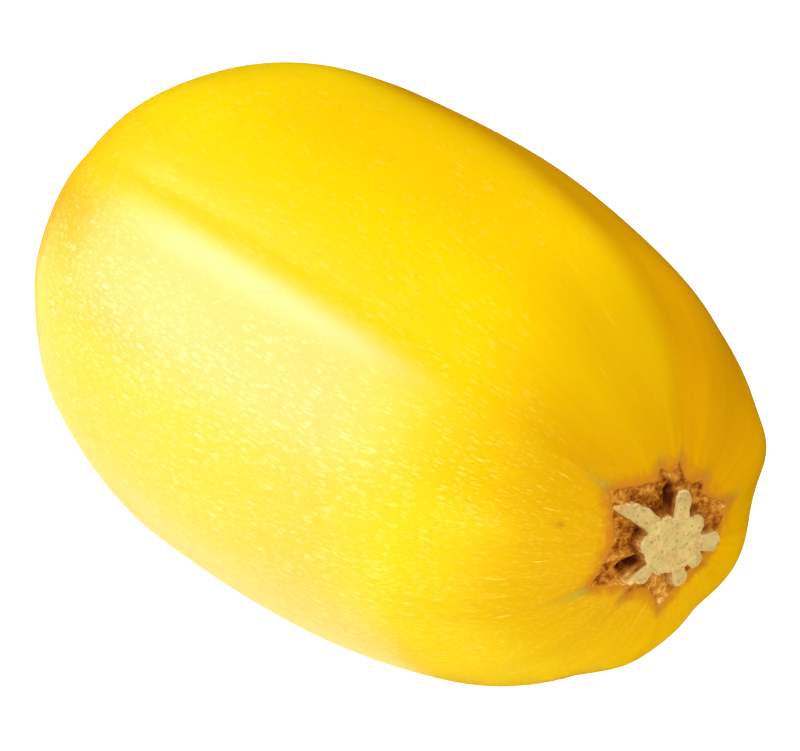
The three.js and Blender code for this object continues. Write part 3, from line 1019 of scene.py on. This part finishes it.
# %% Stub material
CUT_DARK, CUT_PALE = (0.43, 0.265, 0.068, 1), (0.69, 0.48, 0.195, 1)
VESSEL_GREEN, SAP_GREEN = (0.27, 0.24, 0.06, 1), (0.50, 0.43, 0.12, 1)
ARM_BROWN = (0.46, 0.32, 0.11, 1)
PALE_EDGE = (0.74, 0.56, 0.25, 1)
VESSEL_LAYERS = [(1.1 * MM, 0.0), (1.6 * MM, 0.4)]     # spacing, and a shift of the pattern


def make_stub_material():
    material, start, shader = new_material("cut_stem", IOR=1.35)
    place = start.node("TexCoord", {}, {}, output="Object")
    on_face = start.trait("on_face")
    below = start.trait("below_cut")
    fibre = start.trait_vector("fibre")

    grain = place.noise(900, 3.0, 0.6)
    patches = place.noise(330, 3.0, 0.6)
    tone = (patches * 1.7 + grain * 0.9 - 0.80).clamped()
    face = tone.pick(CUT_DARK, CUT_PALE)
    vessels = 0.0
    for spacing, shift in VESSEL_LAYERS:
        tubes = place.moved(shift, shift, shift).scaled(0.05 / spacing, 1 / spacing, 1 / spacing)
        spot, chance = tubes.cells()
        size = chance.beside("Green") * 0.12 + 0.13
        vessels = (size - spot).step(-0.08, 0.08) * chance.step(0.70, 0.60) + vessels
    vessels = vessels.clamped()
    face = (vessels * 0.6).pick(face, VESSEL_GREEN)
    greenish = place.moved(0.1, 0, 0).noise(260, 2.0, 0.5).step(0.45, 0.66) * 0.55
    face = greenish.pick(face, SAP_GREEN)
    face = (start.trait("arm") * 0.4).pick(face, ARM_BROWN)
    pale_rim = below.step(0.9 * MM, 0.3 * MM)

    strands = fibre.scaled(260, 900, 900).noise(1.0, 4.0, 0.65)
    weathered = start.trait("weathered")
    # Painted shade: darker further below the cut, and in the pits.
    painted_recess_shade = below.step(0.6 * MM, 5 * MM) * 0.25 + start.trait("pit") * 0.15
    bark_tone = (strands * 0.7 + patches * 0.7 - 0.12 - painted_recess_shade + weathered * 0.12).clamped()
    stops = [
        (0.22, colour(96, 40, 14)),
        (0.42, colour(164, 92, 28)),
        (0.60, colour(206, 148, 64)),
        (0.80, colour(236, 200, 128)),
    ]
    bark = bark_tone.node("ValToRGB", {"stops": stops}, {0: bark_tone})
    wall = pale_rim.pick(bark, PALE_EDGE)
    torn = (weathered + (patches - 0.5) * 0.8).step(0.3, 0.8) * 0.8
    whole = torn.pick(on_face.step(0.2, 0.8).pick(wall, face), bark)
    whole.drive(shader["Base Color"])
    (grain * 0.2 + 0.68).drive(shader["Roughness"])
    height = grain * 0.2 * MM + strands * (1 - on_face) * 0.6 * MM - vessels * on_face * 0.2 * MM
    bumped(height).drive(shader["Normal"])
    return material


stub.data.materials.append(make_stub_material())
print("stub material nodes:", len(stub.data.materials[0].node_tree.nodes))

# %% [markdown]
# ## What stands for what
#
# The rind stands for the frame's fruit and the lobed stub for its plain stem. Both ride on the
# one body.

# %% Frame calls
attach(rind, "root")
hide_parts("squash_fruit")
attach(stub, "root")
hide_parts("stem_stub")

# %% [markdown]
# ## Floor, light and camera
#
# A plain pale floor goes far past the picture on every side and glows as brightly as the world
# behind it. Large soft boxes stand round the fruit and look at it. No real lamp could do it, but
# a setting lets only the surfaces' colour or only their gloss answer to each box. The key light
# at the left of the camera is one box for the colour and two for the broad pale reflection on
# the flank, and the others only fill the colour. Only the camera sees the floor, so no shadow or
# yellow tint on it is thrown back at the fruit: soft boxes lying on it stand in for its light,
# and two pale cards for what the underside mirrors. The camera stands off towards the stem end
# and looks down a little, through a long lens.

# %% Floor
FLOOR_REACH = 12.0          # metres from the middle to each side
FLOOR_GREY = 0.55
BACKDROP = 0.92             # brightness of the world behind, and of the floor's own glow


def make_floor():
    mesh = bpy.data.meshes.new("floor")
    turns = ((-1, -1), (1, -1), (1, 1), (-1, 1))
    corners = [(x * FLOOR_REACH, y * FLOOR_REACH, 0) for x, y in turns]
    mesh.from_pydata(corners, [], [(0, 1, 2, 3)])
    floor = bpy.data.objects.new("floor", mesh)
    bpy.context.scene.collection.objects.link(floor)
    material, start, shader = new_material("pale_floor", Roughness=0.7)
    shader["Base Color"].default_value = (FLOOR_GREY, FLOOR_GREY, FLOOR_GREY, 1)
    shader["Emission Color"].default_value = (1, 1, 1, 1)
    shader["Emission Strength"].default_value = BACKDROP
    mesh.materials.append(material)
    floor.visible_glossy = False
    floor.visible_diffuse = False


make_floor()

# %% Lights
def facing(azimuth, elevation):
    """Unit vector from the fruit: azimuth 0 is -Y and 90 is +X, in degrees."""
    a, e = math.radians(azimuth), math.radians(elevation)
    return Vector((math.sin(a) * math.cos(e), -math.cos(a) * math.cos(e), math.sin(e)))


def soft_box(name, place, towards, width, height, radiance):
    """A rectangular light at a place, looking towards the opposite of a direction. Its power is
    radiance times pi times its area."""
    data = bpy.data.lights.new(name, "AREA")
    data.shape, data.size, data.size_y = "RECTANGLE", width, height
    data.energy = radiance * math.pi * width * height
    light = bpy.data.objects.new(name, data)
    light.location = place
    light.rotation_euler = towards.to_track_quat("Z", "Y").to_euler()
    light.visible_camera = False
    bpy.context.scene.collection.objects.link(light)
    print(f"{name}: {data.energy:.1f} W at {tuple(round(v, 2) for v in light.location)}")
    return light


fruit_middle = Vector(((fruit_low + fruit_high) / 2).tolist())


def aimed_box(name, azimuth, elevation, distance, width, height, radiance, seen):
    """A soft box that looks at the fruit. seen says what answers to it: colour or gloss."""
    side = facing(azimuth, elevation)
    light = soft_box(name, fruit_middle + side * distance, side, width, height, radiance)
    light.visible_glossy = seen == "gloss"
    light.visible_diffuse = seen == "colour"
    light.data.cycles.use_multiple_importance_sampling = seen == "gloss"


aimed_box("key_light", -31, 18, 1.1, 1.15, 0.85, 2.2, "colour")
aimed_box("key_gloss", -30, 18, 1.14, 0.90, 0.85, 1.7, "gloss")
aimed_box("key_gloss_edge", -34, 18, 1.12, 1.42, 0.865, 3.6, "gloss")
aimed_box("top_fill", 0, 89.9, 1.6, 2.4, 2.4, 1.13, "colour")
aimed_box("front_fill", 25, 42, 1.6, 1.2, 1.0, 2.3, "colour")
aimed_box("right_fill", 80, 12, 1.6, 1.2, 0.6, 5.3, "colour")
aimed_box("left_fill", -95, 35, 1.6, 1.2, 1.2, 3.27, "colour")
aimed_box("far_right_fill", 125, 35, 1.6, 1.2, 1.2, 1.01, "colour")
aimed_box("back_fill", 180, 35, 1.6, 1.4, 1.2, 0.40, "colour")

# The floor's glow: middle in X and Y, width and depth. One small tile lies under the fruit and
# four wide ones round it, because a single wide light would be sampled badly where the fruit
# comes within millimetres of it.
GLOW_TILES = [
    (0, 0, 0.5, 0.5),
    (0, 0.875, 3.0, 1.25),
    (0, -0.875, 3.0, 1.25),
    (0.875, 0, 1.25, 0.5),
    (-0.875, 0, 1.25, 0.5),
]
GLOW_RADIANCE = 1.3
GLOW_HEIGHT = 1.5 * MM
LOOKING_UP = Vector((0, 0, -1))
for x, y, width, depth in GLOW_TILES:
    tile = Vector((x, y, GLOW_HEIGHT))
    floor_glow = soft_box("floor_glow", tile, LOOKING_UP, width, depth, GLOW_RADIANCE)
    floor_glow.visible_glossy = False
    floor_glow.data.cycles.use_multiple_importance_sampling = False

near_card = soft_box("near_card", Vector((-0.4425, -0.66, 1 * MM)), LOOKING_UP, 0.995, 1.28, 0.8)
far_card = soft_box("far_card", Vector((-0.48, -0.80, 2 * MM)), LOOKING_UP, 0.92, 1.0, 1.64)
for card in (near_card, far_card):
    card.visible_diffuse = False

world = bpy.data.worlds.new("studio")
world.use_nodes = True
background = world.node_tree.nodes["Background"].inputs
background["Color"].default_value = (1.0, 1.0, 1.0, 1)
background["Strength"].default_value = BACKDROP
world.cycles_visibility.diffuse = False
world.cycles_visibility.glossy = False
bpy.context.scene.world = world
bpy.context.scene.view_settings.view_transform = "Standard"

# %% Camera
CAMERA_AZIMUTH = 57
CAMERA_ELEVATION = 22.8
CAMERA_DISTANCE = 12 * BODY_RADIUS
LENS = 138.6
AIM_RIGHT = 24.3 * MM       # from the widest place of the axis to the middle of the picture
AIM_DOWN = 13.4 * MM

towards_camera = facing(CAMERA_AZIMUTH, CAMERA_ELEVATION)
right = Vector((0, 0, 1)).cross(towards_camera).normalized()
up = towards_camera.cross(right)
axis_point = Vector(axis_middle.tolist())
lens = bpy.data.cameras.new("camera")
lens.lens = LENS
camera = bpy.data.objects.new("camera", lens)
camera.location = axis_point + towards_camera * CAMERA_DISTANCE
looking_at = axis_point + right * AIM_RIGHT - up * AIM_DOWN
camera.rotation_euler = (camera.location - looking_at).to_track_quat("Z", "Y").to_euler()
bpy.context.scene.collection.objects.link(camera)
bpy.context.scene.camera = camera
print("camera at", tuple(round(v, 3) for v in camera.location))
